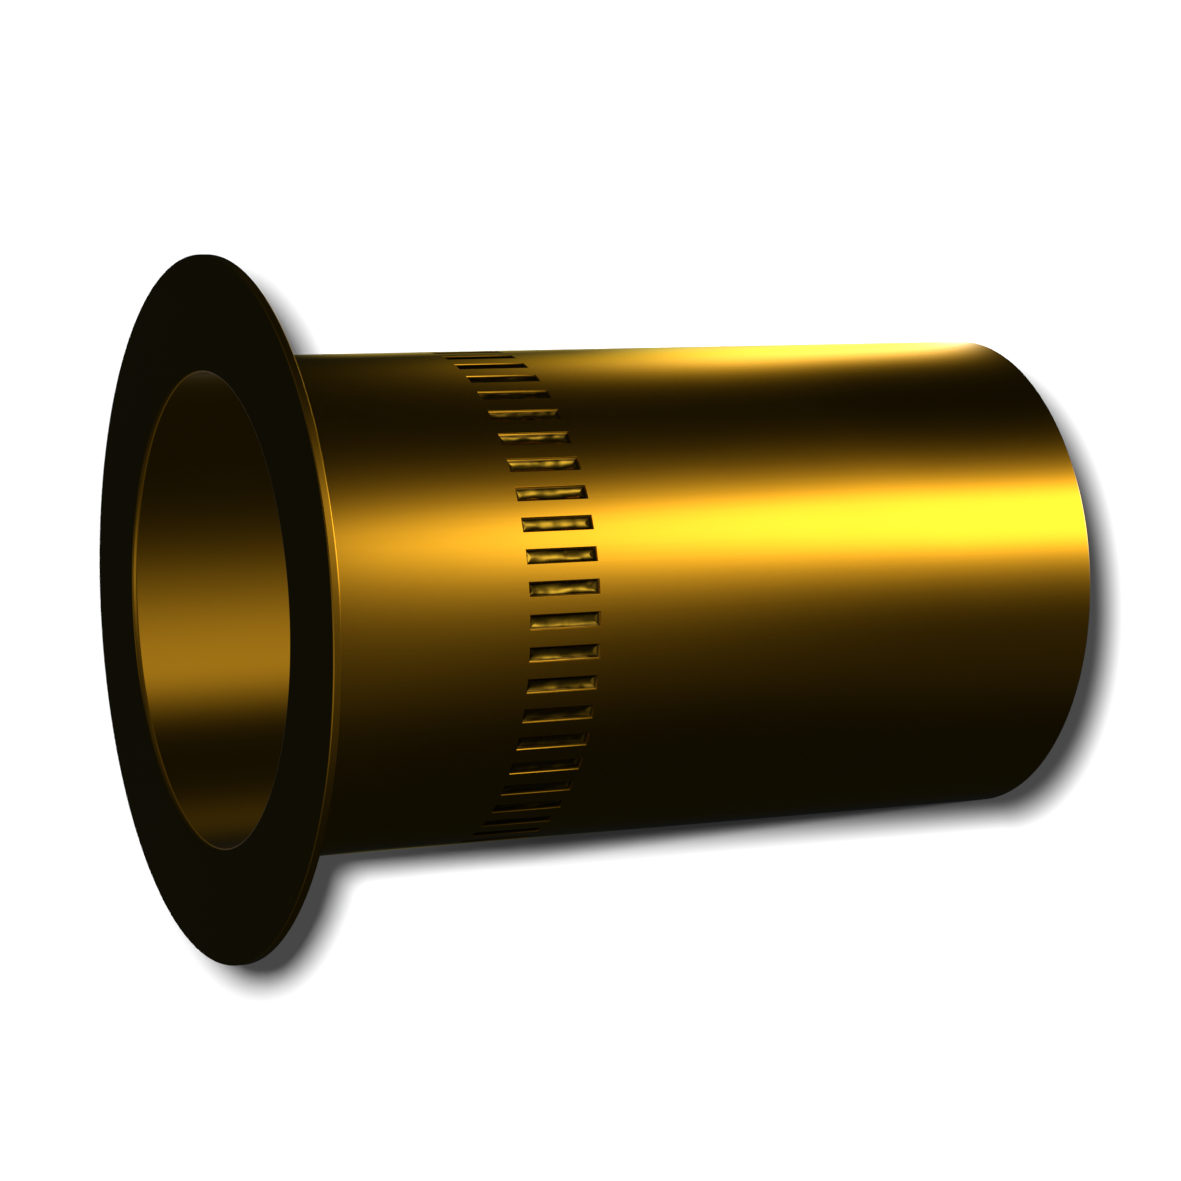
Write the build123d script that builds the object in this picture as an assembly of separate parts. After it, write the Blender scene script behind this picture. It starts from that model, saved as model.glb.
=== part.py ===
from build123d import *
import os

# Brass support sleeve (pipe insert) for the cut end of a plastic pressure pipe.
#
# It is one piece: a thin drawn tube whose head end is flared out into a flat flange,
# with one band of short grip slots pressed into the outside of the tube.
# It stands on its plain end. Z = 0 is that cut end, X = Y = 0 is the bore axis and +Z
# runs along the bore towards the flange. All lengths are in millimetres.

# The tube that slides into the pipe.
TUBE_OUTER_DIAMETER = 19.8
TUBE_WALL = 0.6
OVERALL_LENGTH = 34.5
PLAIN_END_CHAMFER = 0.1

# The flared flange that stops against the end of the pipe.
FLANGE_DIAMETER = 27.7
FLANGE_THICKNESS = 0.35
RIM_ROUND = 0.08  # on both edges of the flange's rim
MOUTH_RADIUS = 0.4  # where the bore rolls out into the flange's front face
ROOT_RADIUS = 0.15  # where the outside of the tube rolls out into the flange's seat

# The band of grip slots, evenly spaced around the tube and parallel to its axis.
SLOT_COUNT = 50
SLOT_LENGTH = 2.95
SLOT_WIDTH = 0.58
SLOT_DEPTH = 0.15
SLOT_SETBACK = 9.1  # from the flange's seat to the near end of each slot

TUBE_RADIUS = TUBE_OUTER_DIAMETER / 2
BORE_RADIUS = TUBE_RADIUS - TUBE_WALL
FLANGE_RADIUS = FLANGE_DIAMETER / 2
FLANGE_SEAT_HEIGHT = OVERALL_LENGTH - FLANGE_THICKNESS
SLOT_FLOOR_RADIUS = TUBE_RADIUS - SLOT_DEPTH
SLOT_TOP_HEIGHT = FLANGE_SEAT_HEIGHT - SLOT_SETBACK


def corner(section, radius, height):
    """The corner of the half section at a radius and a height."""
    return section.vertices().sort_by_distance((radius, height, 0))[0]


def flanged_tube():
    """The tube and its flange, turned about the bore axis from one half section."""
    with BuildPart() as blank:
        with BuildSketch(Plane.XZ) as section:
            with BuildLine():
                Polyline(
                    (BORE_RADIUS, 0),
                    (TUBE_RADIUS, 0),
                    (TUBE_RADIUS, FLANGE_SEAT_HEIGHT),
                    (FLANGE_RADIUS, FLANGE_SEAT_HEIGHT),
                    (FLANGE_RADIUS, OVERALL_LENGTH),
                    (BORE_RADIUS, OVERALL_LENGTH),
                    close=True,
                )
            make_face()
            fillet(corner(section.sketch_local, BORE_RADIUS, OVERALL_LENGTH), MOUTH_RADIUS)
            fillet(corner(section.sketch_local, TUBE_RADIUS, FLANGE_SEAT_HEIGHT), ROOT_RADIUS)
            fillet(corner(section.sketch_local, FLANGE_RADIUS, OVERALL_LENGTH), RIM_ROUND)
            fillet(corner(section.sketch_local, FLANGE_RADIUS, FLANGE_SEAT_HEIGHT), RIM_ROUND)
            chamfer(corner(section.sketch_local, BORE_RADIUS, 0), PLAIN_END_CHAMFER)
            chamfer(corner(section.sketch_local, TUBE_RADIUS, 0), PLAIN_END_CHAMFER)
        revolve(axis=Axis.Z)
    return blank.part


def slot_cutters():
    """One block for each grip slot, from the slot's floor out past the tube's surface."""
    with BuildPart() as cutters:
        with Locations((0, 0, SLOT_TOP_HEIGHT)):
            with PolarLocations(SLOT_FLOOR_RADIUS, SLOT_COUNT):
                Box(2 * SLOT_DEPTH, SLOT_WIDTH, SLOT_LENGTH, align=(Align.MIN, Align.CENTER, Align.MAX))
    return cutters.part


def support_sleeve():
    """The whole sleeve: the flanged tube with its grip slots cut in."""
    return flanged_tube() - slot_cutters()


os.makedirs("parts", exist_ok=True)
export_step(support_sleeve(), "parts/support_sleeve.step")
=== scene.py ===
"""Brass pipe support sleeve, standing on its plain end in a small product studio.

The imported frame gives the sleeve's box. The sleeve's own mesh is turned from one section,
its ring of impressed slots is pressed into one pitch of the wall, and the pitch is repeated
round the bore. Lengths in the dataclasses are in millimetres, and the scene is in metres.
"""

import logging
import math
from dataclasses import dataclass, field
from enum import Enum

import bmesh
import bpy
from mathutils import Matrix, Vector

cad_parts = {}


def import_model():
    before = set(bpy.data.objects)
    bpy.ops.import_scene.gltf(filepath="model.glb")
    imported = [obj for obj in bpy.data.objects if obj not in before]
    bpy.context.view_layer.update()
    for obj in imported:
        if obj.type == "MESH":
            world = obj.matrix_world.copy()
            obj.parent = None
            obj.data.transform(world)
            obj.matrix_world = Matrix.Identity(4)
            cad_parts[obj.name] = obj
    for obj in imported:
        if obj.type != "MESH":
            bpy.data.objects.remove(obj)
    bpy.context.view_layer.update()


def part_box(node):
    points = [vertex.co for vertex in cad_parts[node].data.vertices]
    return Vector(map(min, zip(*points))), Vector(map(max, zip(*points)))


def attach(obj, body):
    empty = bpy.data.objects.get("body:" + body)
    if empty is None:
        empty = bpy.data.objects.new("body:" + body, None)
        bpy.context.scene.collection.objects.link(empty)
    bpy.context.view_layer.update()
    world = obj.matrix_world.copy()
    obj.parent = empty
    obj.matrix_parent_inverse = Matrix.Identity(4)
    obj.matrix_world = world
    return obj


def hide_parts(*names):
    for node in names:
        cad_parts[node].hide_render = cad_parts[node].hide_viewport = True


LOG = logging.getLogger("support_sleeve")
METRES = 0.001
NODE = "support_sleeve"


# ---------------------------------------------------------------------------
# Shader writing
# ---------------------------------------------------------------------------


class Scalar:
    """A number on a shader socket. Arithmetic on it adds Math nodes to its graph."""

    def __init__(self, graph: "ShaderGraph", socket: bpy.types.NodeSocket) -> None:
        """Wraps one socket.

        Args:
            graph: The graph that holds the socket's node.
            socket: The output socket that carries the number.
        """
        self.graph = graph
        self.socket = socket

    def math(self, operation: str, *values: "Scalar | float") -> "Scalar":
        """Adds one Math node.

        Args:
            operation: The Math node's operation.
            values: Its inputs, in order.

        Returns:
            The node's output as a Scalar.
        """
        inputs = dict(enumerate(values))
        return self.graph.scalar("ShaderNodeMath", {"operation": operation}, inputs)

    def __add__(self, other: "Scalar | float") -> "Scalar":
        """Adds."""
        return self.math("ADD", self, other)

    def __radd__(self, other: float) -> "Scalar":
        """Adds, reflected."""
        return self.math("ADD", other, self)

    def __sub__(self, other: "Scalar | float") -> "Scalar":
        """Subtracts."""
        return self.math("SUBTRACT", self, other)

    def __rsub__(self, other: float) -> "Scalar":
        """Subtracts, reflected."""
        return self.math("SUBTRACT", other, self)

    def __mul__(self, other: "Scalar | float") -> "Scalar":
        """Multiplies."""
        return self.math("MULTIPLY", self, other)

    def __truediv__(self, other: "Scalar | float") -> "Scalar":
        """Divides."""
        return self.math("DIVIDE", self, other)

    def __rtruediv__(self, other: float) -> "Scalar":
        """Divides, reflected."""
        return self.math("DIVIDE", other, self)

    def __pow__(self, other: float) -> "Scalar":
        """Raises to a power."""
        return self.math("POWER", self, other)

    def __neg__(self) -> "Scalar":
        """Turns the sign."""
        return self.math("MULTIPLY", self, -1.0)

    def above(self, limit: float) -> "Scalar":
        """One where the number is above the limit, and zero elsewhere."""
        return self.math("GREATER_THAN", self, limit)

    def larger(self, other: "Scalar | float") -> "Scalar":
        """The larger of two numbers."""
        return self.math("MAXIMUM", self, other)

    def smaller(self, other: "Scalar | float") -> "Scalar":
        """The smaller of two numbers."""
        return self.math("MINIMUM", self, other)

    def exponential(self) -> "Scalar":
        """The natural exponential."""
        return self.math("EXPONENT", self)

    def bell(self, centre: "Scalar | float", width: "Scalar | float") -> "Scalar":
        """A smooth hump, one at the centre.

        Args:
            centre: Where the hump stands.
            width: Its standard deviation.

        Returns:
            The hump's height.
        """
        reach = (self - centre) / width
        return (reach * reach * -0.5).exponential()

    def ease(self, low: float, high: float) -> "Scalar":
        """Rises smoothly from zero to one.

        Args:
            low: Where the rise starts; it may be above high for a fall.
            high: Where it is complete.

        Returns:
            The share, from zero to one.
        """
        if low < high:
            settings = {"interpolation_type": "SMOOTHSTEP"}
            inputs = {"Value": self, "From Min": low, "From Max": high}
            return self.graph.scalar("ShaderNodeMapRange", settings, inputs)
        return 1.0 - self.ease(high, low)


class TreeEnd(Enum):
    """What a node tree dresses, with the type of its output node."""

    MATERIAL = "ShaderNodeOutputMaterial"
    WORLD = "ShaderNodeOutputWorld"
    LAMP = "ShaderNodeOutputLight"


class ShaderGraph:
    """Writes the node tree of a material, a world or a lamp."""

    def __init__(self, tree: bpy.types.NodeTree) -> None:
        """Empties the tree and starts writing it.

        Args:
            tree: The node tree to write.
        """
        self.tree = tree
        tree.nodes.clear()

    def node(
        self,
        kind: str,
        settings: dict[str, object] | None = None,
        inputs: dict[int | str, object] | None = None,
    ) -> bpy.types.Node:
        """Adds one node.

        Args:
            kind: The node's type.
            settings: Its properties, set first.
            inputs: The value or link of each input socket, by name or place.

        Returns:
            The new node.
        """
        made = self.tree.nodes.new(kind)
        for name, value in (settings or {}).items():
            setattr(made, name, value)
        for key, value in (inputs or {}).items():
            socket = made.inputs[key]
            if isinstance(value, Scalar):
                self.tree.links.new(value.socket, socket)
            elif isinstance(value, bpy.types.NodeSocket):
                self.tree.links.new(value, socket)
            else:
                socket.default_value = value
        return made

    def scalar(
        self,
        kind: str,
        settings: dict[str, object] | None = None,
        inputs: dict[int | str, object] | None = None,
        output: int | str = 0,
    ) -> Scalar:
        """Adds one node and wraps one of its outputs.

        Args:
            kind: The node's type.
            settings: Its properties.
            inputs: Its input values or links.
            output: The output to wrap, by name or place.

        Returns:
            That output as a Scalar.
        """
        return Scalar(self, self.node(kind, settings, inputs).outputs[output])

    def blend(
        self, share: Scalar, first: object, second: object
    ) -> bpy.types.NodeSocket:
        """Mixes two colours.

        Args:
            share: The second colour's share.
            first: A colour or a colour socket.
            second: A colour or a colour socket.

        Returns:
            The mixed colour's socket.
        """
        settings = {"data_type": "RGBA", "blend_type": "MIX"}
        mixer = self.node("ShaderNodeMix", settings, {0: share, 6: first, 7: second})
        return mixer.outputs[2]

    def place(self) -> bpy.types.NodeSocket:
        """The object's own coordinates, in metres."""
        return self.node("ShaderNodeTexCoord").outputs["Object"]

    def axes(self, place: bpy.types.NodeSocket) -> tuple[Scalar, Scalar, Scalar]:
        """A place's three coordinates, in millimetres.

        Args:
            place: The place's socket, in metres.

        Returns:
            The x, y and z coordinates.
        """
        split = self.node("ShaderNodeSeparateXYZ", None, {0: place})
        x, y, z = (Scalar(self, out) / METRES for out in split.outputs)
        return x, y, z

    def grain(
        self,
        place: bpy.types.NodeSocket,
        stretch: tuple[float, float, float],
        detail: float = 3.0,
        roughness: float = 0.5,
    ) -> Scalar:
        """Noise over the piece.

        Args:
            place: The place's socket, in metres.
            stretch: Grains for each millimetre along x, y and z.
            detail: The noise's octaves.
            roughness: How strong the finer octaves are.

        Returns:
            The noise, from zero to one.
        """
        scale = [number / METRES for number in stretch]
        mapping = self.node("ShaderNodeMapping", None, {"Vector": place, "Scale": scale})
        inputs = {
            "Vector": mapping.outputs[0],
            "Scale": 1.0,
            "Detail": detail,
            "Roughness": roughness,
        }
        return self.scalar("ShaderNodeTexNoise", {"noise_dimensions": "3D"}, inputs)

    def rings(self, distance: Scalar, each: float, detail: float = 2.0) -> Scalar:
        """Noise that changes only with one distance, as a lathe's tool leaves it.

        Args:
            distance: The distance that it follows, in millimetres.
            each: Rings for each millimetre.
            detail: The noise's octaves.

        Returns:
            The noise, from zero to one.
        """
        inputs = {"W": distance * each, "Scale": 1.0, "Detail": detail}
        return self.scalar("ShaderNodeTexNoise", {"noise_dimensions": "1D"}, inputs)

    def background_rays(self) -> Scalar:
        """One for camera, glossy and transmission rays, and zero for the rest."""
        path = self.node("ShaderNodeLightPath").outputs
        camera, glossy, through = (
            Scalar(self, path[name])
            for name in ("Is Camera Ray", "Is Glossy Ray", "Is Transmission Ray")
        )
        return (camera + glossy + through).smaller(1.0)

    def first_mirror(self) -> Scalar:
        """One for rays that have met no matt surface, so metal throws no glow on the floor."""
        path = self.node("ShaderNodeLightPath").outputs
        return 1.0 - Scalar(self, path["Diffuse Depth"]).above(0.5)

    def finish(
        self, shader: bpy.types.NodeSocket, end: TreeEnd = TreeEnd.MATERIAL
    ) -> None:
        """Links a shader to the tree's output.

        Args:
            shader: The shader's socket.
            end: What the tree dresses.
        """
        self.node(end.value, None, {"Surface": shader})


def new_material(name: str) -> tuple[bpy.types.Material, ShaderGraph]:
    """Makes an empty node material.

    Args:
        name: The material's name.

    Returns:
        The material and the graph that writes it.
    """
    material = bpy.data.materials.new(name)
    material.use_nodes = True
    return material, ShaderGraph(material.node_tree)


# ---------------------------------------------------------------------------
# The sleeve
# ---------------------------------------------------------------------------


@dataclass(frozen=True)
class SleeveSizes:
    """The sleeve's sizes, in millimetres; its length and flange come from the frame."""

    length: float
    flange_radius: float
    tube_radius: float = 9.9
    wall: float = 0.6
    flange_thickness: float = 0.35
    end_chamfer: float = 0.1
    rim_round: float = 0.04
    mouth_radius: float = 0.2
    root_radius: float = 0.15

    @property
    def bore_radius(self) -> float:
        """The bore's radius."""
        return self.tube_radius - self.wall

    @property
    def seat_height(self) -> float:
        """The height of the flange's seat."""
        return self.length - self.flange_thickness


@dataclass(frozen=True)
class SlotSizes:
    """The ring of impressed slots, in millimetres."""

    count: int = 50
    length: float = 2.95
    width: float = 0.58
    setback: float = 9.1
    wall_depth: float = 0.09
    wall_run: float = 0.036
    dish_depth: float = 0.085
    dish_run: float = 0.24
    dish_steps: int = 6
    corner: float = 0.045
    lip: float = 0.02


@dataclass(frozen=True)
class BrassFinish:
    """Drawn and turned yellow brass, lightly handled.

    A grain is given as grains for each millimetre along x, y and z, and an edge as the two
    values between which a mark fades in.
    """

    clean: tuple[float, float, float, float] = (0.90, 0.43, 0.020, 1.0)
    warm: tuple[float, float, float, float] = (0.86, 0.40, 0.018, 1.0)
    # Painted shade: the next colour darkens the slots' sunk floors, where shade falls.
    slot_floor_shade: tuple[float, float, float, float] = (0.38, 0.22, 0.016, 1.0)
    # Painted shade: the next colour darkens the slots' edges and walls, where shade falls.
    scale: tuple[float, float, float, float] = (0.07, 0.035, 0.006, 1.0)
    edge_tint: tuple[float, float, float, float] = (0.97, 0.90, 0.56, 1.0)
    cloud_grain: tuple[float, float, float] = (0.12, 0.12, 0.09)
    cloud_edge: tuple[float, float] = (0.35, 0.75)
    cloud_share: float = 0.6
    roughness: float = 0.13
    smear_grain: tuple[float, float, float] = (0.5, 0.5, 0.2)
    smear_edge: tuple[float, float] = (0.3, 0.8)
    smear_scatter: float = 0.04
    draw_grain: tuple[float, float, float] = (5.0, 5.0, 0.05)
    draw_scatter: float = 0.05
    draw_relief: float = 0.10
    fine_grain: tuple[float, float, float] = (16.0, 16.0, 0.35)
    fine_share: float = 0.3
    turned_edge: tuple[float, float] = (-0.2, -0.02)
    turning_rings: float = 7.0
    turning_scatter: float = 0.06
    turning_relief: float = 0.12
    punch_grain: tuple[float, float, float] = (1.3, 1.3, 1.0)
    punch_scatter: float = 0.04
    punch_relief: float = 26.0
    punch_edge: tuple[float, float] = (0.01, 0.05)
    wall_edge: tuple[float, float] = (0.05, 0.15)
    # The next five shape the painted shade along the slots' edges and walls.
    edge_shade_rise: tuple[float, float] = (-0.01, 0.01)
    edge_shade_end: tuple[float, float] = (0.14, 0.09)
    edge_shade_ragged: float = 0.12
    edge_shade_deepen: tuple[float, float] = (0.02, 0.05)
    edge_shade_shares: tuple[float, float] = (0.45, 0.4)
    bump_strength: float = 0.35
    bump_distance: float = 0.00002

    def material(self, sleeve: SleeveSizes, slots: SlotSizes) -> bpy.types.Material:
        """Writes the brass.

        Args:
            sleeve: The sleeve's sizes, which place the turned and drawn faces.
            slots: The slots' sizes, which place the painted shade on the slots' floors and
                edges.

        Returns:
            The material.
        """
        material, graph = new_material("drawn_brass")
        place = graph.place()
        x, y, z = graph.axes(place)
        radius = (x * x + y * y) ** 0.5
        start, end = self.turned_edge
        turned = z.ease(sleeve.seat_height + start, sleeve.seat_height + end)
        drawn = 1.0 - turned
        punch = graph.grain(place, self.punch_grain, 1.0, 0.5)
        sunk, walled = self._slot_masks(x, y, z, punch, sleeve, slots)

        cloud = graph.grain(place, self.cloud_grain, 4.0, 0.55)
        cloudy = cloud.ease(*self.cloud_edge) * self.cloud_share
        colour = graph.blend(cloudy, self.clean, self.warm)
        # Painted shade: the slots' floors are darkened.
        colour = graph.blend(sunk, colour, self.slot_floor_shade)
        # Painted shade: the slots' edges and walls are darkened more.
        colour = graph.blend(walled, colour, self.scale)

        streak = graph.grain(place, self.draw_grain, 3.0, 0.6)
        fine = graph.grain(place, self.fine_grain, 2.0, 0.5)
        tool = graph.rings(radius, self.turning_rings)
        smear = graph.grain(place, self.smear_grain, 4.0, 0.6)
        rough = (
            self.roughness
            + smear.ease(*self.smear_edge) * self.smear_scatter
            + (streak - 0.5) * self.draw_scatter * drawn
            + (tool - 0.5) * self.turning_scatter * turned
            + sunk * self.punch_scatter
        )
        relief = streak * (1.0 - self.fine_share) + fine * self.fine_share
        relief = relief * self.draw_relief * drawn
        relief = relief + tool * self.turning_relief * turned
        relief = relief + punch * self.punch_relief * sunk
        bump = graph.node(
            "ShaderNodeBump",
            None,
            {"Strength": self.bump_strength, "Distance": self.bump_distance, "Height": relief},
        )
        inputs = {
            "Base Color": colour,
            "Metallic": 1.0,
            "Roughness": rough,
            "Specular Tint": self.edge_tint,
            "Normal": bump.outputs[0],
        }
        graph.finish(graph.node("ShaderNodeBsdfPrincipled", None, inputs).outputs[0])
        return material

    def _slot_masks(
        self,
        x: Scalar,
        y: Scalar,
        z: Scalar,
        uneven: Scalar,
        sleeve: SleeveSizes,
        slots: SlotSizes,
    ) -> tuple[Scalar, Scalar]:
        """Where the slots' punched floors lie, with painted shade on them and round their
        edges.

        Args:
            x: The x coordinate.
            y: The y coordinate.
            z: The height.
            uneven: The uneven texture of the punched floor.
            sleeve: The sleeve's sizes.
            slots: The slots' sizes.

        Returns:
            The share of sunk floor, and the share of painted shade round its edge.
        """
        pitch = math.tau / slots.count
        turns = y.math("ARCTAN2", y, x) / pitch + 0.5
        across = (turns.math("FRACT", turns) - 0.5) * (pitch * sleeve.tube_radius)
        middle = sleeve.seat_height - slots.setback - slots.length / 2
        beside = slots.width / 2 - across.math("ABSOLUTE", across)
        along = z - middle
        inside = beside.smaller(slots.length / 2 - along.math("ABSOLUTE", along))
        radius = (x * x + y * y) ** 0.5
        start, end = self.wall_edge
        wall = radius.ease(sleeve.bore_radius + start, sleeve.bore_radius + end)
        sunk = inside.ease(*self.punch_edge) * wall
        # Painted shade round the slot's edge, made ragged by the punched texture.
        ragged = inside + (uneven - 0.5) * self.edge_shade_ragged
        least, more = self.edge_shade_shares
        dark = inside.ease(*self.edge_shade_deepen) * more + least
        edge = inside.ease(*self.edge_shade_rise) * ragged.ease(*self.edge_shade_end)
        return sunk, edge * wall * dark


MERGE = 1e-3
ON_PLANE = 1e-5
ROUND_SEGMENTS = 3


@dataclass
class SupportSleeve:
    """The flanged brass tube with its ring of impressed slots.

    The methods that look for faces and edges tell the wall's two sides apart by `skin` and
    what lies on one line or surface by `close`.
    """

    sizes: SleeveSizes
    slots: SlotSizes = field(default_factory=SlotSizes)
    finish: BrassFinish = field(default_factory=BrassFinish)
    steps: int = 8
    sharp_degrees: float = 40.0
    lip_degrees: float = 30.0
    hold: float = 0.02
    skin: float = 0.1
    close: float = 0.01

    def build(self) -> bpy.types.Object:
        """Builds and dresses the sleeve.

        Returns:
            The sleeve's object, in metres, at the origin.
        """
        shape = bmesh.new()
        self._turn_pitch(shape)
        self._press_slot(shape)
        self._hold_rim(shape)
        self._repeat(shape)
        self._shade(shape)
        bmesh.ops.scale(shape, vec=(METRES,) * 3, verts=shape.verts)
        mesh = bpy.data.meshes.new("sleeve")
        shape.to_mesh(mesh)
        shape.free()
        piece = bpy.data.objects.new("sleeve", mesh)
        bpy.context.scene.collection.objects.link(piece)
        weigh = piece.modifiers.new("face_weight", "WEIGHTED_NORMAL")
        weigh.keep_sharp = True
        mesh.materials.append(self.finish.material(self.sizes, self.slots))
        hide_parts(NODE)
        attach(piece, "root")
        LOG.info("%s: %d faces", piece.name, len(mesh.polygons))
        return piece

    def _turn_pitch(self, shape: bmesh.types.BMesh) -> None:
        """Draws the wall's half section, rounds its corners and spins it over one slot pitch.

        Args:
            shape: The bmesh to fill.
        """
        s = self.sizes
        corners = [
            (s.bore_radius, 0.0, s.end_chamfer, 1),
            (s.tube_radius, 0.0, s.end_chamfer, 1),
            (s.tube_radius, s.seat_height, s.root_radius, ROUND_SEGMENTS + 1),
            (s.flange_radius, s.seat_height, s.rim_round, ROUND_SEGMENTS),
            (s.flange_radius, s.length, s.rim_round, ROUND_SEGMENTS),
            (s.bore_radius, s.length, s.mouth_radius, 8),
        ]
        verts = [shape.verts.new((r, 0.0, z)) for r, z, _, _ in corners]
        section = shape.faces.new(verts)
        for vert, (_, _, size, segments) in zip(verts, corners):
            bmesh.ops.bevel(
                shape,
                geom=[vert],
                offset=size,
                offset_type="OFFSET",
                segments=segments,
                profile=0.5,
                affect="VERTICES",
                material=-1,
                clamp_overlap=False,
            )
        bmesh.ops.delete(shape, geom=shape.faces[:], context="FACES_ONLY")
        pitch = math.tau / self.slots.count
        bmesh.ops.rotate(
            shape,
            verts=shape.verts[:],
            cent=(0, 0, 0),
            matrix=Matrix.Rotation(-pitch / 2, 3, "Z"),
        )
        bmesh.ops.spin(
            shape,
            geom=shape.verts[:] + shape.edges[:],
            cent=(0, 0, 0),
            axis=(0, 0, 1),
            angle=pitch,
            steps=self.steps,
            use_merge=False,
            use_normal_flip=True,
        )

    def _band(
        self, shape: bmesh.types.BMesh, low: float, high: float, half: float
    ) -> list[bmesh.types.BMFace]:
        """Finds faces of the tube's outside.

        Args:
            shape: The sleeve's bmesh.
            low: The band's lower height.
            high: The band's upper height.
            half: Half of the band's width across the slot.

        Returns:
            The faces whose middles lie in the band.
        """
        near = self.sizes.tube_radius - 2 * self.close
        found = []
        for face in shape.faces:
            middle = face.calc_center_median()
            across = abs(middle.y) < half
            if low < middle.z < high and middle.xy.length > near and across:
                found.append(face)
        return found

    def _cut(
        self,
        shape: bmesh.types.BMesh,
        faces: list[bmesh.types.BMFace],
        point: Vector,
        normal: Vector,
    ) -> None:
        """Splits faces along a plane.

        Args:
            shape: The sleeve's bmesh.
            faces: The faces to split.
            point: A point on the plane.
            normal: The plane's normal.
        """
        edges = {edge for face in faces for edge in face.edges}
        verts = {vert for face in faces for vert in face.verts}
        bmesh.ops.bisect_plane(
            shape,
            geom=[*verts, *edges, *faces],
            dist=ON_PLANE,
            plane_co=point,
            plane_no=normal,
        )

    def _press_slot(self, shape: bmesh.types.BMesh) -> None:
        """Presses one slot into the middle of the pitch, facing +X.

        Args:
            shape: The sleeve's bmesh.
        """
        slots = self.slots
        top = self.sizes.seat_height - slots.setback
        low = top - slots.length
        half = slots.width / 2
        every = self.sizes.tube_radius
        for height in (low, top):
            wall = self._band(shape, 0.0, self.sizes.seat_height, every)
            self._cut(shape, wall, Vector((0, 0, height)), Vector((0, 0, 1)))
        for side in (-half, half):
            wall = self._band(shape, low, top, every)
            self._cut(shape, wall, Vector((0, side, 0)), Vector((0, 1, 0)))
        print_area = self._band(shape, low, top, half)
        floor = bmesh.ops.dissolve_faces(shape, faces=print_area)["region"]
        self._sink(shape, floor, slots.wall_run, slots.wall_depth)
        for end in (low, top):
            self._join_end(shape, end)
        floor = self._floor(shape, low, top)
        run = slots.dish_run / slots.dish_steps
        for step in range(slots.dish_steps):
            share = (2 * (slots.dish_steps - step) - 1) / slots.dish_steps**2
            self._sink(shape, floor, run, slots.dish_depth * share)
        self._round(shape, self._corners(shape, low, top), slots.corner)
        self._round(shape, self._lips(shape, low, top), slots.lip)

    @staticmethod
    def _sink(
        shape: bmesh.types.BMesh,
        floor: list[bmesh.types.BMFace],
        run: float,
        depth: float,
    ) -> None:
        """Insets the slot's floor and sinks it.

        Args:
            shape: The sleeve's bmesh.
            floor: The floor's faces.
            run: How far the floor draws in.
            depth: How far it sinks.
        """
        bmesh.ops.inset_region(
            shape,
            faces=floor,
            thickness=run,
            depth=-depth,
            use_boundary=True,
            use_even_offset=True,
        )

    def _join_end(self, shape: bmesh.types.BMesh, end: float) -> None:
        """Makes one face of an end wall of the slot, so that the floor has plain corners.

        Args:
            shape: The sleeve's bmesh.
            end: The height of that end.
        """
        rim, wall = self.sizes.tube_radius, []
        for face in shape.faces:
            middle = face.calc_center_median()
            inside = abs(middle.y) < self.slots.width / 2 - self.close
            sunk = rim - self.slots.wall_depth < middle.xy.length < rim - self.close
            if inside and sunk and abs(middle.z - end) < self.slots.wall_run:
                wall.append(face)
        bmesh.ops.dissolve_faces(shape, faces=wall, use_verts=True)

    def _floor(
        self, shape: bmesh.types.BMesh, low: float, top: float
    ) -> list[bmesh.types.BMFace]:
        """Finds the slot's sunk floor.

        Args:
            shape: The sleeve's bmesh.
            low: The slot's lower end.
            top: The slot's upper end.

        Returns:
            The floor's faces.
        """
        level = self.sizes.tube_radius - self.slots.wall_depth + 2 * self.close
        found = []
        for face in shape.faces:
            middle = face.calc_center_median()
            walled = middle.xy.length > self.sizes.bore_radius + self.skin
            if walled and middle.xy.length < level and low < middle.z < top:
                found.append(face)
        return found

    def _corners(
        self, shape: bmesh.types.BMesh, low: float, top: float
    ) -> list[bmesh.types.BMEdge]:
        """Finds the edges that run from the slot's four outer corners to its middle.

        Args:
            shape: The sleeve's bmesh.
            low: The slot's lower end.
            top: The slot's upper end.

        Returns:
            The edges.
        """
        half, found = self.slots.width / 2, []
        bore, rim = self.sizes.bore_radius + self.skin, self.sizes.tube_radius + MERGE
        for edge in shape.edges:
            first, second = (vert.co for vert in edge.verts)
            walled = min(first.xy.length, second.xy.length) > bore
            sunk = max(first.xy.length, second.xy.length) < rim
            on_line = all(
                abs(half - abs(co.y) - min(co.z - low, top - co.z)) < 2 * MERGE
                and -MERGE < half - abs(co.y) < half
                for co in (first, second)
            )
            apart = first - second
            runs = abs(apart.y) > self.close and abs(apart.z) > self.close
            if walled and sunk and on_line and runs:
                found.append(edge)
        return found

    def _lips(
        self, shape: bmesh.types.BMesh, low: float, top: float
    ) -> list[bmesh.types.BMEdge]:
        """Finds the edges between the slot's walls and the tube's outside.

        Args:
            shape: The sleeve's bmesh.
            low: The slot's lower end.
            top: The slot's upper end.

        Returns:
            The edges.
        """
        near = self.sizes.tube_radius - self.close / 2
        return [
            edge
            for edge in shape.edges
            if len(edge.link_faces) == 2
            and all(vert.co.xy.length > near for vert in edge.verts)
            and all(low < vert.co.z + self.close < top + 2 * self.close for vert in edge.verts)
            and edge.calc_face_angle(0.0) > math.radians(self.lip_degrees)
        ]

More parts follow.
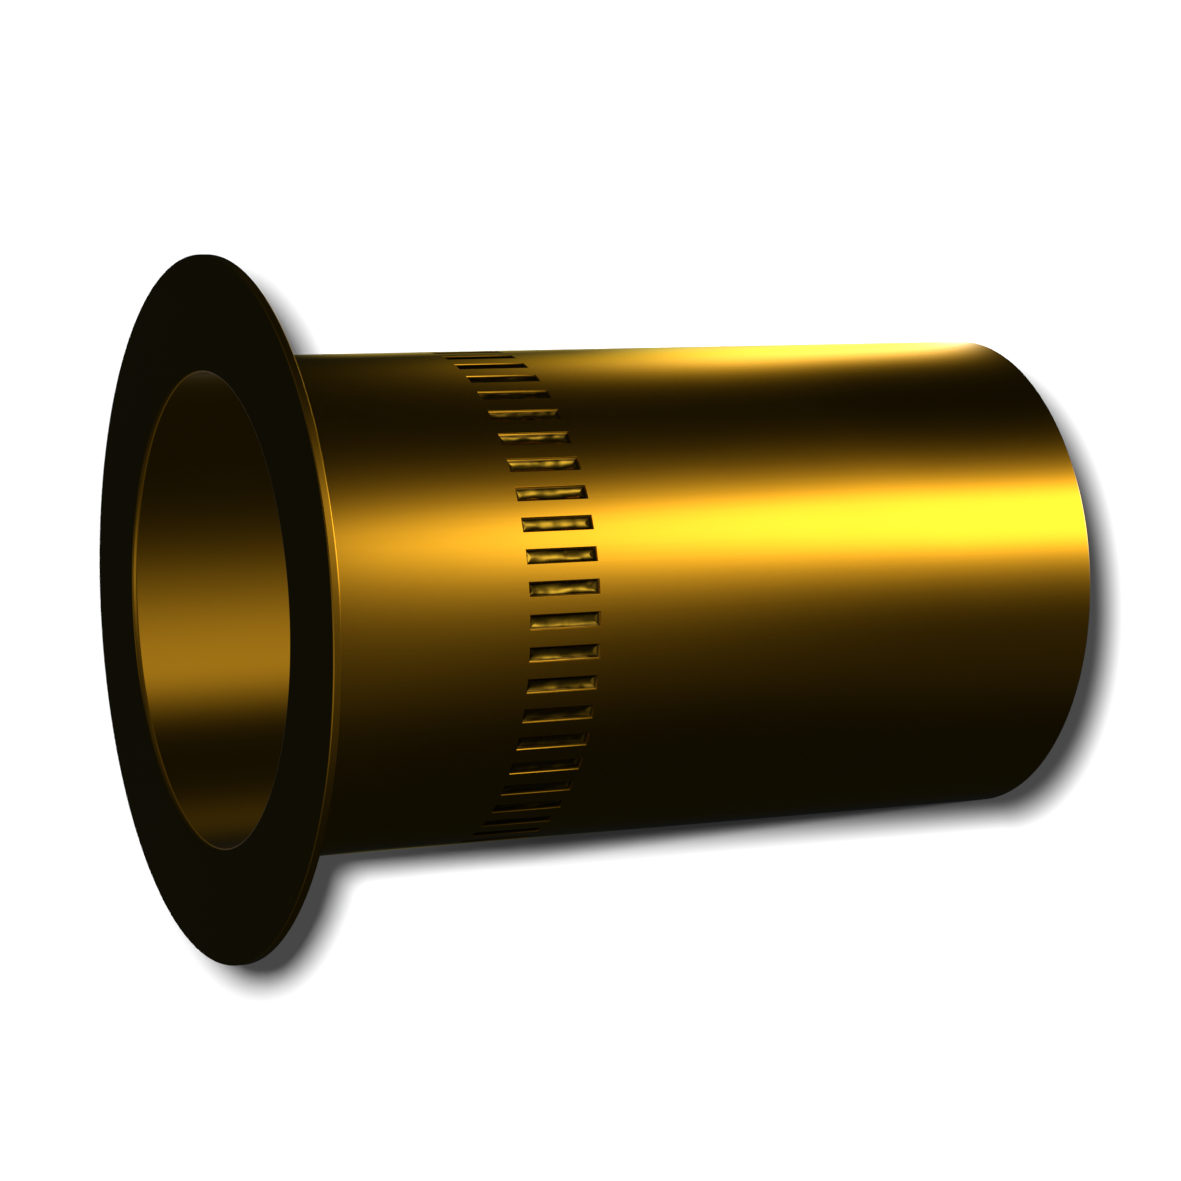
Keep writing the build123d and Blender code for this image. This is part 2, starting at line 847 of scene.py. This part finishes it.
    @staticmethod
    def _round(
        shape: bmesh.types.BMesh, edges: list[bmesh.types.BMEdge], size: float
    ) -> None:
        """Rounds edges.

        Args:
            shape: The sleeve's bmesh.
            edges: The edges to round.
            size: How far the round runs from each edge.
        """
        bmesh.ops.bevel(
            shape,
            geom=edges,
            offset=size,
            offset_type="OFFSET",
            segments=ROUND_SEGMENTS,
            profile=0.5,
            affect="EDGES",
            material=-1,
            clamp_overlap=True,
        )

    def _hold_rim(self, shape: bmesh.types.BMesh) -> None:
        """Adds a loop just inside each edge of the rim's band, so the band shades straight.

        Args:
            shape: The sleeve's bmesh.
        """
        near = self.sizes.flange_radius - self.close
        band = [
            face
            for face in shape.faces
            if face.calc_center_median().xy.length > near and abs(face.normal.z) < self.close
        ]
        bmesh.ops.inset_region(
            shape,
            faces=band,
            thickness=self.hold,
            depth=0.0,
            use_boundary=False,
            use_even_offset=True,
            use_edge_rail=True,
        )

    def _repeat(self, shape: bmesh.types.BMesh) -> None:
        """Repeats the pitch round the bore and closes its seams.

        Args:
            shape: The sleeve's bmesh.
        """
        count = self.slots.count
        bmesh.ops.spin(
            shape,
            geom=shape.verts[:] + shape.edges[:] + shape.faces[:],
            cent=(0, 0, 0),
            axis=(0, 0, 1),
            angle=math.tau * (count - 1) / count,
            steps=count - 1,
            use_duplicate=True,
        )
        bmesh.ops.remove_doubles(shape, verts=shape.verts[:], dist=MERGE)
        bmesh.ops.recalc_face_normals(shape, faces=shape.faces[:])

    def _shade(self, shape: bmesh.types.BMesh) -> None:
        """Smooths every face and keeps the crisp edges.

        Args:
            shape: The sleeve's bmesh.
        """
        for face in shape.faces:
            face.smooth = True
        limit = math.radians(self.sharp_degrees)
        for edge in shape.edges:
            edge.smooth = edge.is_manifold and edge.calc_face_angle(0.0) < limit


# ---------------------------------------------------------------------------
# The studio
# ---------------------------------------------------------------------------


FLAT_STEPS = 96
WALL_STEPS = 120
WHITE = (1.0, 1.0, 1.0, 1.0)


class Seen(Enum):
    """Which rays meet a stage piece."""

    ALL = "all"
    METAL_ONLY = "metal_only"

    def apply(self, piece: bpy.types.Object) -> None:
        """Sets a stage piece's ray visibility.

        Args:
            piece: The stage piece.
        """
        if self is Seen.METAL_ONLY:
            piece.visible_camera = False
            piece.visible_diffuse = False
            piece.visible_transmission = False
            piece.visible_volume_scatter = False
            piece.visible_shadow = False


def stage_piece(
    name: str, shape: bmesh.types.BMesh, material: bpy.types.Material, seen: Seen
) -> bpy.types.Object:
    """Turns a bmesh into a stage piece.

    Args:
        name: The piece's name.
        shape: Its shape, in millimetres; it is freed.
        material: Its material.
        seen: Which rays meet it.

    Returns:
        The stage piece.
    """
    bmesh.ops.scale(shape, vec=(METRES,) * 3, verts=shape.verts)
    mesh = bpy.data.meshes.new(name)
    shape.to_mesh(mesh)
    shape.free()
    mesh.materials.append(material)
    piece = bpy.data.objects.new(name, mesh)
    bpy.context.scene.collection.objects.link(piece)
    seen.apply(piece)
    LOG.info("stage: %s", name)
    return piece


def full_turn(ends: list[tuple[float, float]], steps: int) -> bmesh.types.BMesh:
    """Spins one edge all the way round the bore's axis.

    Args:
        ends: The edge's two ends, each as a radius and a height.
        steps: The faces round the axis.

    Returns:
        The bmesh of a flat ring or an upright tube.
    """
    shape = bmesh.new()
    verts = [shape.verts.new((radius, 0, height)) for radius, height in ends]
    edge = shape.edges.new(verts)
    bmesh.ops.spin(
        shape,
        geom=[*verts, edge],
        cent=(0, 0, 0),
        axis=(0, 0, 1),
        angle=math.tau,
        steps=steps,
        use_merge=True,
    )
    return shape


@dataclass(frozen=True)
class StudioFloor:
    """A white floor that keeps the sleeve's shadow, with a soft shade painted at its foot."""

    radius: float = 1500.0
    drop: float = 0.02
    paper: float = 0.8
    near_glow: float = 0.022
    far_start: float = 110.0
    far_end: float = 280.0
    foot: float = 9.9
    lamp_heading: float = -87.25
    lamp_distance: float = 129.0
    shade_aside: float = 1.07
    shade_ahead: float = 1.95
    shade_soft: float = 1.15
    shade_widen: float = 0.10
    shade_start: float = 45.0
    shade_end: float = 80.0
    shade_paper: float = 0.02

    def build(self) -> bpy.types.Object:
        """Lays the floor.

        Returns:
            The floor.
        """
        material, graph = new_material("white_floor")
        lit, dim = (
            graph.node("ShaderNodeBsdfDiffuse", None, {"Color": (grey, grey, grey, 1.0)})
            for grey in (self.paper, self.shade_paper)
        )
        x, y, _ = graph.axes(graph.place())
        far = ((x * x + y * y) ** 0.5).ease(self.far_start, self.far_end)
        shown = graph.background_rays() * (far + self.near_glow)
        own = graph.node("ShaderNodeEmission", None, {"Color": shown, "Strength": 1.0})
        # The paper turns to the dark paper where the foot shade is painted.
        inputs = {0: self._foot_shade(x, y), 1: lit.outputs[0], 2: dim.outputs[0]}
        paper = graph.node("ShaderNodeMixShader", None, inputs)
        parts = {0: paper.outputs[0], 1: own.outputs[0]}
        graph.finish(graph.node("ShaderNodeAddShader", None, parts).outputs[0])
        shape = bmesh.new()
        bmesh.ops.create_circle(
            shape,
            cap_ends=True,
            segments=FLAT_STEPS,
            radius=self.radius,
            matrix=Matrix.Translation((0, 0, -self.drop)),
        )
        return stage_piece("floor", shape, material, Seen.ALL)

    def _foot_shade(self, x: Scalar, y: Scalar) -> Scalar:
        """The painted shade round the sleeve's foot, which widens away from the lamp.

        Args:
            x: The x coordinate.
            y: The y coordinate.

        Returns:
            The shade's share.
        """
        turn = math.radians(self.lamp_heading)
        behind = self.shade_ahead - x * math.cos(turn) - y * math.sin(turn)
        aside = y * math.cos(turn) - x * math.sin(turn) + self.shade_aside
        aside = aside / (behind.larger(0.0) / self.lamp_distance + 1.0)
        before = behind.smaller(0.0)
        reach = (aside * aside + before * before) ** 0.5
        edge = (reach - self.foot) / (self.shade_soft - before * self.shade_widen)
        return edge.ease(1.0, -1.0) * behind.ease(self.shade_end, self.shade_start)


@dataclass(frozen=True)
class Windows:
    """The light of the two windows in the dark surroundings that the metal sees.

    Headings are in degrees from the side that faces the camera, positive anticlockwise.
    Pairs name where a smooth rise or fall starts and ends; a hump has its middle and width.
    An edge's softness is the lower of two straight lines over the distance from the axis.
    """

    facing: float
    brightest: float = 2.5
    foot: float = 9.9
    steady: float = 20.0
    main_heading: float = 27.6
    main_lean: float = 22.5
    lean_fade: float = 17.0
    near_edge: tuple[float, float, float, float] = (0.137, 3.4, 0.115, 4.4)
    far_edge: tuple[float, float, float, float] = (0.13, 2.95, 0.04, 5.3)
    main_strength: float = 17.2
    main_fade: float = 38.0
    main_end: tuple[float, float] = (96.0, 107.0)
    main_end_loss: float = 0.7
    gleam: tuple[float, float] = (-28.0, 14.0)
    gleam_light: float = 0.015
    side_heading: float = 114.3
    side_lean: float = 23.5
    side_lean_start: float = 12.0
    side_lean_fade: float = 6.0
    side_lean_most: float = 0.6
    side_edge: float = 0.26
    side_edge_widen: float = 0.0025
    side_light: float = 0.45
    side_hump: tuple[float, float] = (8.0, 12.0)
    side_hump_light: float = 0.50
    side_dip: tuple[float, float] = (24.0, 44.0)
    side_dip_loss: float = 0.19
    side_strength: float = 2.2
    side_reach: float = 31.0
    side_fade: float = 11.6
    high_start: tuple[float, float] = (32.0, 46.0)
    high_loss: float = 0.7
    high_part: tuple[float, float] = (10.0, 40.0)
    rear: tuple[float, float] = (146.0, 164.0)
    rear_start: tuple[float, float] = (32.0, 42.0)
    rear_end: tuple[float, float] = (88.0, 70.0)
    rear_light: float = 0.4
    back_end: tuple[float, float] = (208.0, 180.0)
    warm_part: tuple[float, float] = (2.0, 19.0)

    def heading(self, x: Scalar, y: Scalar) -> Scalar:
        """The heading of a place.

        Args:
            x: Its x coordinate.
            y: Its y coordinate.

        Returns:
            The heading, in degrees.
        """
        turn = math.radians(self.facing)
        near = x * math.cos(turn) + y * math.sin(turn)
        side = y * math.cos(turn) - x * math.sin(turn)
        return side.math("ARCTAN2", side, near) * (180.0 / math.pi)

    def soften(self, light: Scalar) -> Scalar:
        """Keeps the light under its brightest level, smoothly."""
        return light / (1.0 + (light / self.brightest) ** 4.0) ** 0.25

    def main(self, heading: Scalar, reach: Scalar) -> Scalar:
        """The main window, in front of the sleeve.

        Close to the sleeve's foot the window narrows as fast as the tube's reflection widens.

        Args:
            heading: The heading, in degrees.
            reach: The distance from the axis.

        Returns:
            Its light.
        """
        closeness = 2.0 - self.foot / reach
        reach = reach.larger(self.steady)
        heading = heading * (2.0 - self.foot / reach) / closeness
        lean = (reach * (-1.0 / self.lean_fade)).exponential() * self.main_lean
        past = heading - (self.main_heading - lean)
        near = self._softness(reach, self.near_edge)
        far = self._softness(reach, self.far_edge)
        rise, fall = (-past / near).exponential(), (past / far).exponential()
        strength = (reach * (-1.0 / self.main_fade)).exponential() * self.main_strength
        strength = strength * (1.0 - reach.ease(*self.main_end) * self.main_end_loss)
        gleam = heading.bell(*self.gleam) * self.gleam_light
        return self.soften(strength / (rise + fall)) + gleam

    @staticmethod
    def _softness(reach: Scalar, edge: tuple[float, float, float, float]) -> Scalar:
        """How soft a window's edge is.

        Args:
            reach: The distance from the axis.
            edge: The slope and start of two straight lines.

        Returns:
            The lower of the two lines, in degrees.
        """
        slope, start, far_slope, far_start = edge
        return (reach * slope + start).smaller(reach * far_slope + far_start)

    def side(self, heading: Scalar, reach: Scalar) -> Scalar:
        """The second window, beside and behind the sleeve.

        Args:
            heading: The heading, in degrees.
            reach: The distance from the axis.

        Returns:
            Its light.
        """
        past = self._past_side(heading, reach)
        crisp = reach * self.side_edge_widen - self.side_edge
        edge = 1.0 / (1.0 + (past * crisp).exponential())
        body = past.bell(*self.side_hump) * self.side_hump_light + self.side_light
        body = body - past.ease(*self.side_dip) * self.side_dip_loss
        high = reach.ease(*self.high_start) * past.ease(*self.high_part)
        body = body * (1.0 - high * self.high_loss)
        strength = ((self.side_reach - reach) / self.side_fade).exponential()
        strength = strength * self.side_strength
        behind = self._round_back(heading)
        rear = behind.ease(*self.rear) * reach.ease(*self.rear_end)
        rear = rear * reach.ease(*self.rear_start) * self.rear_light
        return (self.soften(strength) * edge * body + rear) * behind.ease(*self.back_end)

    def warmth(self, heading: Scalar, reach: Scalar) -> Scalar:
        """How warm the second window's light is; its far half is the warmest.

        Args:
            heading: The heading, in degrees.
            reach: The distance from the axis.

        Returns:
            The warm colour's share.
        """
        return self._past_side(heading, reach).ease(*self.warm_part)

    def _past_side(self, heading: Scalar, reach: Scalar) -> Scalar:
        """How far a place lies past the second window's near edge.

        Args:
            heading: The heading, in degrees.
            reach: The distance from the axis.

        Returns:
            The angle, in degrees.
        """
        close = (self.side_lean_start - reach) / self.side_lean_fade
        lean = close.smaller(self.side_lean_most).exponential() * self.side_lean
        return self._round_back(heading) - self.side_heading + lean

    def _round_back(self, heading: Scalar) -> Scalar:
        """The same heading, counted on past the back instead of starting again there."""
        return heading + (1.0 - heading.above(-150.0)) * 360.0


def dark_card(
    graph: ShaderGraph,
    dark: tuple[float, float, float, float],
    light: Scalar | bpy.types.NodeSocket,
) -> None:
    """Finishes the material of a card that only the metal sees.

    Args:
        graph: The material's graph.
        dark: The card's own dim colour.
        light: The white or coloured light that it gives on top.
    """
    settings = {"data_type": "RGBA", "blend_type": "ADD"}
    colour = graph.node("ShaderNodeMix", settings, {0: 1.0, 6: dark, 7: light}).outputs[2]
    glow = graph.node("ShaderNodeEmission", None, {"Color": colour, "Strength": 1.0})
    unlit = graph.node("ShaderNodeEmission", None, {"Strength": 0.0})
    inputs = {0: graph.first_mirror(), 1: unlit.outputs[0], 2: glow.outputs[0]}
    graph.finish(graph.node("ShaderNodeMixShader", None, inputs).outputs[0])


FAR_DIM = (0.0046, 0.0081, 0.028, 1.0)
NEAR_DIM = (0.0031, 0.0058, 0.011, 1.0)


@dataclass(frozen=True)
class ReflectionMat:
    """A dark mat round the sleeve's foot that carries the windows' light."""

    windows: Windows
    inner: float = 8.0
    outer: float = 150.0
    drop: float = 0.01
    foot: tuple[float, float] = (9.5, 9.7)
    least: float = 0.0030
    warm: tuple[float, float, float, float] = (1.0, 0.98, 0.28, 1.0)

    def build(self) -> bpy.types.Object:
        """Lays the mat.

        Returns:
            The mat.
        """
        material, graph = new_material("reflection_mat")
        x, y, _ = graph.axes(graph.place())
        heading = self.windows.heading(x, y)
        reach = (x * x + y * y) ** 0.5
        light = self.windows.main(heading, reach) + self.windows.side(heading, reach)
        light = (light + self.least) * reach.ease(*self.foot)
        tint = graph.blend(self.windows.warmth(heading, reach), WHITE, self.warm)
        scaled = graph.node(
            "ShaderNodeVectorMath", {"operation": "SCALE"}, {0: tint, "Scale": light}
        )
        dark_card(graph, NEAR_DIM, scaled.outputs[0])
        shape = full_turn([(self.inner, -self.drop), (self.outer, -self.drop)], FLAT_STEPS)
        return stage_piece("reflection_mat", shape, material, Seen.METAL_ONLY)


@dataclass(frozen=True)
class LightTent:
    """The tent round the sleeve: dark behind it, dim in front, with the windows' stripes."""

    windows: Windows
    radius: float = 140.0
    low: float = -1.0
    height: float = 300.0
    hole: float = 0.01
    front: tuple[float, float] = (0.0, 62.0)
    front_light: float = 0.05
    stripe: tuple[float, float] = (-20.0, 16.0)
    stripe_light: float = 0.21
    roof: tuple[float, float] = (140.0, 20.0)
    roof_light: float = 0.1

    def build(self) -> list[bpy.types.Object]:
        """Hangs the tent's wall and roof.

        Returns:
            The two pieces.
        """
        material, graph = new_material("tent_wall")
        x, y, _ = graph.axes(graph.place())
        heading = self.windows.heading(x, y)
        front = heading.bell(*self.front) * self.front_light
        stripe = heading.bell(*self.stripe) * self.stripe_light
        dark_card(graph, FAR_DIM, front + stripe)
        shape = full_turn([(self.radius, self.low), (self.radius, self.height)], WALL_STEPS)
        wall = stage_piece("tent_wall", shape, material, Seen.METAL_ONLY)

        material, graph = new_material("tent_roof")
        x, y, _ = graph.axes(graph.place())
        reach = (x * x + y * y) ** 0.5
        dark_card(graph, FAR_DIM, reach.ease(*self.roof) * self.roof_light)
        shape = full_turn([(self.hole, self.height), (self.radius, self.height)], FLAT_STEPS)
        return [wall, stage_piece("tent_roof", shape, material, Seen.METAL_ONLY)]


@dataclass(frozen=True)
class BoreCard:
    """A dark card rolled inside the bore, with soft lit stripes on its outer side."""

    windows: Windows
    radius: float = 9.23
    low: float = 0.3
    high: float = 34.26
    stripe_heading: float = -165.0
    stripe_light: float = 0.38
    stripe_width: float = 14.5
    stripe_narrowing: float = 7.6
    faint_stripe: tuple[float, float] = (50.0, 7.0)
    faint_share: float = 0.08
    edge_stripe: tuple[float, float] = (128.0, 14.0)
    inner_light: float = 0.05
    least: float = 0.006

    def build(self) -> bpy.types.Object:
        """Rolls the card.

        Returns:
            The card.
        """
        material, graph = new_material("bore_card")
        x, y, _ = graph.axes(graph.place())
        turned = Windows(self.windows.facing + self.stripe_heading)
        heading = turned.heading(x, y)
        width = self.stripe_width - heading.above(0.0) * self.stripe_narrowing
        stripe = heading.bell(0.0, width)
        stripe = stripe + heading.bell(*self.faint_stripe) * self.faint_share
        side, spread = self.edge_stripe
        edges = heading.bell(side, spread) + heading.bell(-side, spread)
        outer = graph.scalar("ShaderNodeNewGeometry", output="Backfacing")
        light = (stripe + edges) * self.stripe_light * outer
        light = light + (1.0 - outer) * self.inner_light
        dark_card(graph, NEAR_DIM, light + self.least)
        shape = full_turn([(self.radius, self.low), (self.radius, self.high)], WALL_STEPS)
        return stage_piece("bore_card", shape, material, Seen.METAL_ONLY)


@dataclass(frozen=True)
class Lamp:
    """A distant soft lamp that lights the floor."""

    name: str
    heading: float
    height: float
    light: float
    softness: float

    def build(self) -> bpy.types.Object:
        """Hangs the lamp.

        Returns:
            The lamp.
        """
        lamp = bpy.data.lights.new(self.name, "SUN")
        lamp.energy = self.light
        lamp.angle = math.radians(self.softness)
        made = bpy.data.objects.new(self.name, lamp)
        made.rotation_mode = "QUATERNION"
        aim = towards(self.heading, self.height)
        made.rotation_quaternion = aim.to_track_quat("Z", "Y")
        made.visible_glossy = False
        bpy.context.scene.collection.objects.link(made)
        LOG.info("lamp: %s", self.name)
        return made


@dataclass(frozen=True)
class Flash:
    """A small round lamp beside the camera, whose light does not fade with distance.

    The sleeve's shadow lies close behind it, so the camera sees it along two sides.
    """

    camera: "Camera"
    up: float = 2.4
    aside: float = 2.1
    radius: float = 1.7
    light: float = 152.0

    def build(self) -> bpy.types.Object:
        """Hangs the lamp.

        Returns:
            The lamp.
        """
        lamp = bpy.data.lights.new("flash", "POINT")
        lamp.energy = self.light
        lamp.shadow_soft_size = self.radius * METRES
        lamp.use_nodes = True
        graph = ShaderGraph(lamp.node_tree)
        steady = graph.node("ShaderNodeLightFalloff", None, {"Strength": 1.0})
        strength = steady.outputs["Constant"]
        glow = graph.node("ShaderNodeEmission", None, {"Strength": strength})
        graph.finish(glow.outputs[0], TreeEnd.LAMP)
        made = bpy.data.objects.new("flash", lamp)
        made.visible_glossy = False
        spot = self.camera.place() @ Vector((-self.up, self.aside, 0.0))
        made.location = spot * METRES
        bpy.context.scene.collection.objects.link(made)
        LOG.info("lamp: flash")
        return made


@dataclass(frozen=True)
class Surroundings:
    """The world: white where it is seen or mirrored, and dim on matt surfaces."""

    ambient: float = 0.025

    def build(self) -> None:
        """Sets the world."""
        world = bpy.data.worlds.new("white_surroundings")
        bpy.context.scene.world = world
        world.use_nodes = True
        graph = ShaderGraph(world.node_tree)
        seen = graph.background_rays()
        level = seen + (1.0 - seen) * self.ambient
        sky = graph.node("ShaderNodeBackground", None, {"Strength": level})
        graph.finish(sky.outputs[0], TreeEnd.WORLD)
        LOG.info("world: white surroundings")


def towards(heading: float, height: float) -> Vector:
    """The direction from the sleeve to something round it.

    Args:
        heading: Its heading from +X, in degrees.
        height: Its angle above the floor, in degrees.

    Returns:
        The unit direction.
    """
    turn, rise = math.radians(heading), math.radians(height)
    level = math.cos(rise)
    return Vector((math.cos(turn) * level, math.sin(turn) * level, math.sin(rise)))


@dataclass(frozen=True)
class Camera:
    """The camera: it looks down at the sleeve and is rolled so that the sleeve lies across."""

    lens: float = 105.66
    heading: float = -87.25
    height: float = 25.08
    roll: float = -93.0
    distance: float = 142.39
    aim_height: float = 17.88

    def place(self) -> Matrix:
        """The camera's place and turn, in millimetres."""
        back = towards(self.heading, self.height)
        spot = Vector((0, 0, self.aim_height)) + back * self.distance
        level = back.to_track_quat("Z", "Y").to_matrix().to_4x4()
        roll = Matrix.Rotation(math.radians(self.roll), 4, "Z")
        return Matrix.Translation(spot) @ level @ roll

    def build(self) -> bpy.types.Object:
        """Places the camera.

        Returns:
            The camera.
        """
        data = bpy.data.cameras.new("camera")
        data.lens = self.lens
        data.sensor_width = 36.0
        data.clip_start = 0.01
        camera = bpy.data.objects.new("camera", data)
        bpy.context.scene.collection.objects.link(camera)
        place = self.place()
        place.translation *= METRES
        camera.matrix_world = place
        bpy.context.scene.camera = camera
        LOG.info("camera placed")
        return camera


def main() -> None:
    """Loads the frame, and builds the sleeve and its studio."""
    logging.basicConfig(level=logging.INFO, format="%(name)s: %(message)s")
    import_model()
    low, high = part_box(NODE)
    windows = Windows(facing=-88.52)
    sizes = SleeveSizes(length=high.z / METRES, flange_radius=high.x / METRES)
    SupportSleeve(sizes).build()
    StudioFloor().build()
    ReflectionMat(windows).build()
    LightTent(windows).build()
    BoreCard(windows).build()
    Surroundings().build()
    Lamp("top", heading=70.0, height=84.0, light=0.10, softness=25.0).build()
    camera = Camera()
    Flash(camera).build()
    camera.build()
    bpy.context.scene.view_settings.view_transform = "Standard"
    bpy.context.view_layer.update()


if __name__ == "__main__":
    main()
